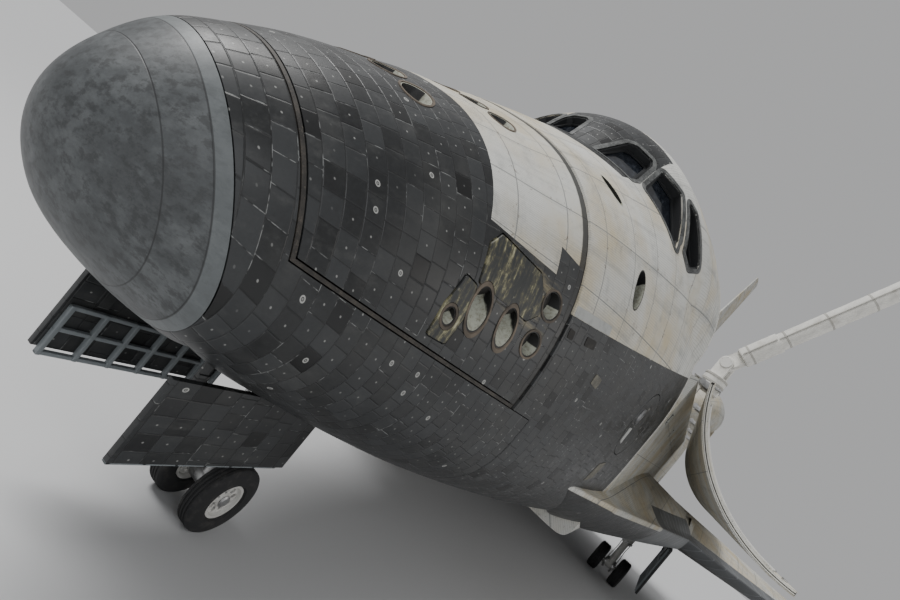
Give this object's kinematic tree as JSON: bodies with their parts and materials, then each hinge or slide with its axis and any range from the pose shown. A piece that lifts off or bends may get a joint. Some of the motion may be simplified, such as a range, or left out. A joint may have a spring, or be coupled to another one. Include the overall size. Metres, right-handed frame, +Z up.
{
  "type": "space shuttle orbiter",
  "caption": "Winged space shuttle orbiter parked on its gear, payload bay doors open, jointed arm raised over the port sill, moving surfaces, hatch, doors and wheels.",
  "frame": {"origin": "on the floor under the tyres, under the middle of the whole orbiter's box", "axes": "+X to the nose, +Y to port, +Z up; the airframe is pitched 3.605 degrees nose down on its gear"},
  "size_m": [36.3696, 23.7896, 19.8692],
  "materials": {
    "carbon": "worn grey carbon composite, satin",
    "black_tile": "dark glassy-coated tile, scuffed",
    "white_tile": "off-white tile, stained",
    "blanket": "quilted white blanket, weathered",
    "liner": "white quilted liner",
    "radiator": "silvered film on panels",
    "glass": "dark window glass",
    "nozzle": "heat-tinted metal",
    "paint": "white paint and white cloth wrap",
    "steel": "machined metal",
    "tyre": "black rubber",
    "cabin": "grey cabin paint"
  },
  "bodies": {
    "orbiter": {"nose_cap": "carbon", "forward_thruster_module": "black_tile", "lower_nose": "black_tile", "crew_cabin": "white_tile", "cabin_glass": "glass", "flight_deck": "cabin", "forward_bulkhead": "liner", "mid_fuselage": "blanket", "aft_bulkhead": "liner", "bay_door_left": "blanket", "radiator_left": "radiator", "wing_edge_left": "carbon", "wing_edge_right": "carbon", "wing_left": "blanket", "wing_right": "blanket", "aft_fuselage": "white_tile", "vertical_fin": "white_tile", "main_engine_upper": "nozzle", "main_engine_left": "nozzle", "main_engine_right": "nozzle", "pod_left": "blanket", "pod_right": "blanket", "pod_nozzle_left": "nozzle", "pod_nozzle_right": "nozzle", "nose_gear_leg": "paint", "nose_gear_door_left": "black_tile", "nose_gear_door_right": "black_tile", "main_gear_leg_left": "paint", "main_gear_leg_right": "paint", "main_gear_door_left": "black_tile", "main_gear_door_right": "black_tile", "arm_pedestal": "paint"},
    "side_hatch": {"side_hatch": "black_tile"},
    "bay_door_right": {"bay_door_right": "blanket", "radiator_right": "radiator"},
    "elevon_inboard_left": {"elevon_inboard_left": "black_tile"},
    "elevon_inboard_right": {"elevon_inboard_right": "black_tile"},
    "elevon_outboard_left": {"elevon_outboard_left": "black_tile"},
    "elevon_outboard_right": {"elevon_outboard_right": "black_tile"},
    "rudder": {"rudder_tube": "steel"},
    "rudder_left": {"rudder_left": "white_tile"},
    "rudder_right": {"rudder_right": "white_tile"},
    "body_flap": {"body_flap": "black_tile"},
    "nose_steering": {"nose_steering_fork": "steel"},
    "nose_wheels": {"nose_wheels": "tyre"},
    "main_wheels_left": {"main_wheels_left": "tyre"},
    "main_wheels_right": {"main_wheels_right": "tyre"},
    "arm_shoulder": {"arm_shoulder": "paint"},
    "arm_upper": {"arm_upper_boom": "paint"},
    "arm_lower": {"arm_lower_boom": "paint"},
    "arm_wrist_pitch": {"arm_wrist_pitch": "paint"},
    "arm_wrist_yaw": {"arm_wrist_yaw": "paint"},
    "arm_end_effector": {"arm_end_effector": "paint"},
    "dish_antenna": {"dish_antenna": "paint"}
  },
  "joints": [
    {"name": "side_hatch", "type": "hinge", "parent": "orbiter", "child": "side_hatch", "pos_m": [11.04698, 2.5527, 3.38856], "axis": [-0.998, 0, 0.0629], "range_deg": [0, 90]},
    {"name": "bay_door_right", "type": "hinge", "parent": "orbiter", "child": "bay_door_right", "pos_m": [1.53426, -2.667, 5.90303], "axis": [-0.998, 0, 0.0629], "range_deg": [0, 175.5]},
    {"name": "elevon_inboard_left", "type": "hinge", "parent": "orbiter", "child": "elevon_inboard_left", "pos_m": [-11.01583, 2.9972, 3.43067], "axis": [0.003, 0.9988, 0.0481], "range_deg": [-20, 35]},
    {"name": "elevon_inboard_right", "type": "hinge", "parent": "orbiter", "child": "elevon_inboard_right", "pos_m": [-11.01583, -2.9972, 3.43067], "axis": [-0.003, 0.9988, -0.0481], "range_deg": [-20, 35]},
    {"name": "elevon_outboard_left", "type": "hinge", "parent": "orbiter", "child": "elevon_outboard_left", "pos_m": [-11.00085, 7.9502, 3.66854], "axis": [0.0022, 0.9994, 0.0344], "range_deg": [-20, 35]},
    {"name": "elevon_outboard_right", "type": "hinge", "parent": "orbiter", "child": "elevon_outboard_right", "pos_m": [-11.00085, -7.9502, 3.66854], "axis": [-0.0022, 0.9994, -0.0344], "range_deg": [-20, 35]},
    {"name": "rudder", "type": "hinge", "parent": "orbiter", "child": "rudder", "pos_m": [-13.46117, 0, 11.22523], "axis": [-0.5171, 0, 0.8559], "range_deg": [-27.1, 27.1]},
    {"name": "rudder_left", "type": "hinge", "parent": "rudder", "child": "rudder_left", "pos_m": [-13.46117, 0, 11.22523], "axis": [0.5171, 0, -0.8559], "range_deg": [0, 49.3]},
    {"name": "rudder_right", "type": "hinge", "parent": "rudder", "child": "rudder_right", "pos_m": [-13.46117, 0, 11.22523], "axis": [-0.5171, 0, 0.8559], "range_deg": [0, 49.3]},
    {"name": "body_flap", "type": "hinge", "parent": "orbiter", "child": "body_flap", "pos_m": [-14.69919, 0, 3.54087], "axis": [0, 1, 0], "range_deg": [-22.5, 11.7]},
    {"name": "nose_steering", "type": "hinge", "parent": "orbiter", "child": "nose_steering", "pos_m": [14.7113, 0, 1.7643], "axis": [0.0629, 0, 0.998], "range_deg": [-10, 10]},
    {"name": "nose_wheels", "type": "hinge", "parent": "nose_steering", "child": "nose_wheels", "pos_m": [14.62556, 0, 0.40344], "axis": [0, 1, 0], "continuous": true},
    {"name": "main_wheels_left", "type": "hinge", "parent": "orbiter", "child": "main_wheels_left", "pos_m": [-5.7248, 3.4544, 0.56103], "axis": [0, 1, 0], "continuous": true},
    {"name": "main_wheels_right", "type": "hinge", "parent": "orbiter", "child": "main_wheels_right", "pos_m": [-5.7248, -3.4544, 0.56103], "axis": [0, 1, 0], "continuous": true},
    {"name": "arm_shoulder", "type": "hinge", "parent": "orbiter", "child": "arm_shoulder", "pos_m": [7.13985, 2.7432, 5.80436], "axis": [0.0629, 0, 0.998], "range_deg": [-255.3, 104.7]},
    {"name": "arm_upper", "type": "hinge", "parent": "arm_shoulder", "child": "arm_upper", "pos_m": [7.17179, 2.7432, 6.31136], "axis": [-0.9654, 0.2538, 0.0608], "range_deg": [-120, 27]},
    {"name": "arm_lower", "type": "hinge", "parent": "arm_upper", "child": "arm_lower", "pos_m": [8.22262, 5.36931, 12.03362], "axis": [0.9654, -0.2538, -0.0608], "range_deg": [-2, 160]},
    {"name": "arm_wrist_pitch", "type": "hinge", "parent": "arm_lower", "child": "arm_wrist_pitch", "pos_m": [9.51532, 8.84482, 18.05105], "axis": [0.9654, -0.2538, -0.0608], "range_deg": [-120, 120]},
    {"name": "arm_wrist_yaw", "type": "hinge", "parent": "arm_wrist_pitch", "child": "arm_wrist_yaw", "pos_m": [9.63936, 9.16778, 18.67243], "axis": [-0.1941, -0.854, 0.4826], "range_deg": [-120, 120]},
    {"name": "arm_end_effector", "type": "hinge", "parent": "arm_wrist_yaw", "child": "arm_end_effector", "pos_m": [9.74569, 9.4446, 19.20504], "axis": [0.1744, 0.4541, 0.8737], "range_deg": [-447, 447]},
    {"name": "dish_antenna", "type": "hinge", "parent": "orbiter", "child": "dish_antenna", "pos_m": [9.29192, -1.9812, 5.42446], "axis": [-0.0629, 0, -0.998], "range_deg": [-113, 0]}
  ]
}
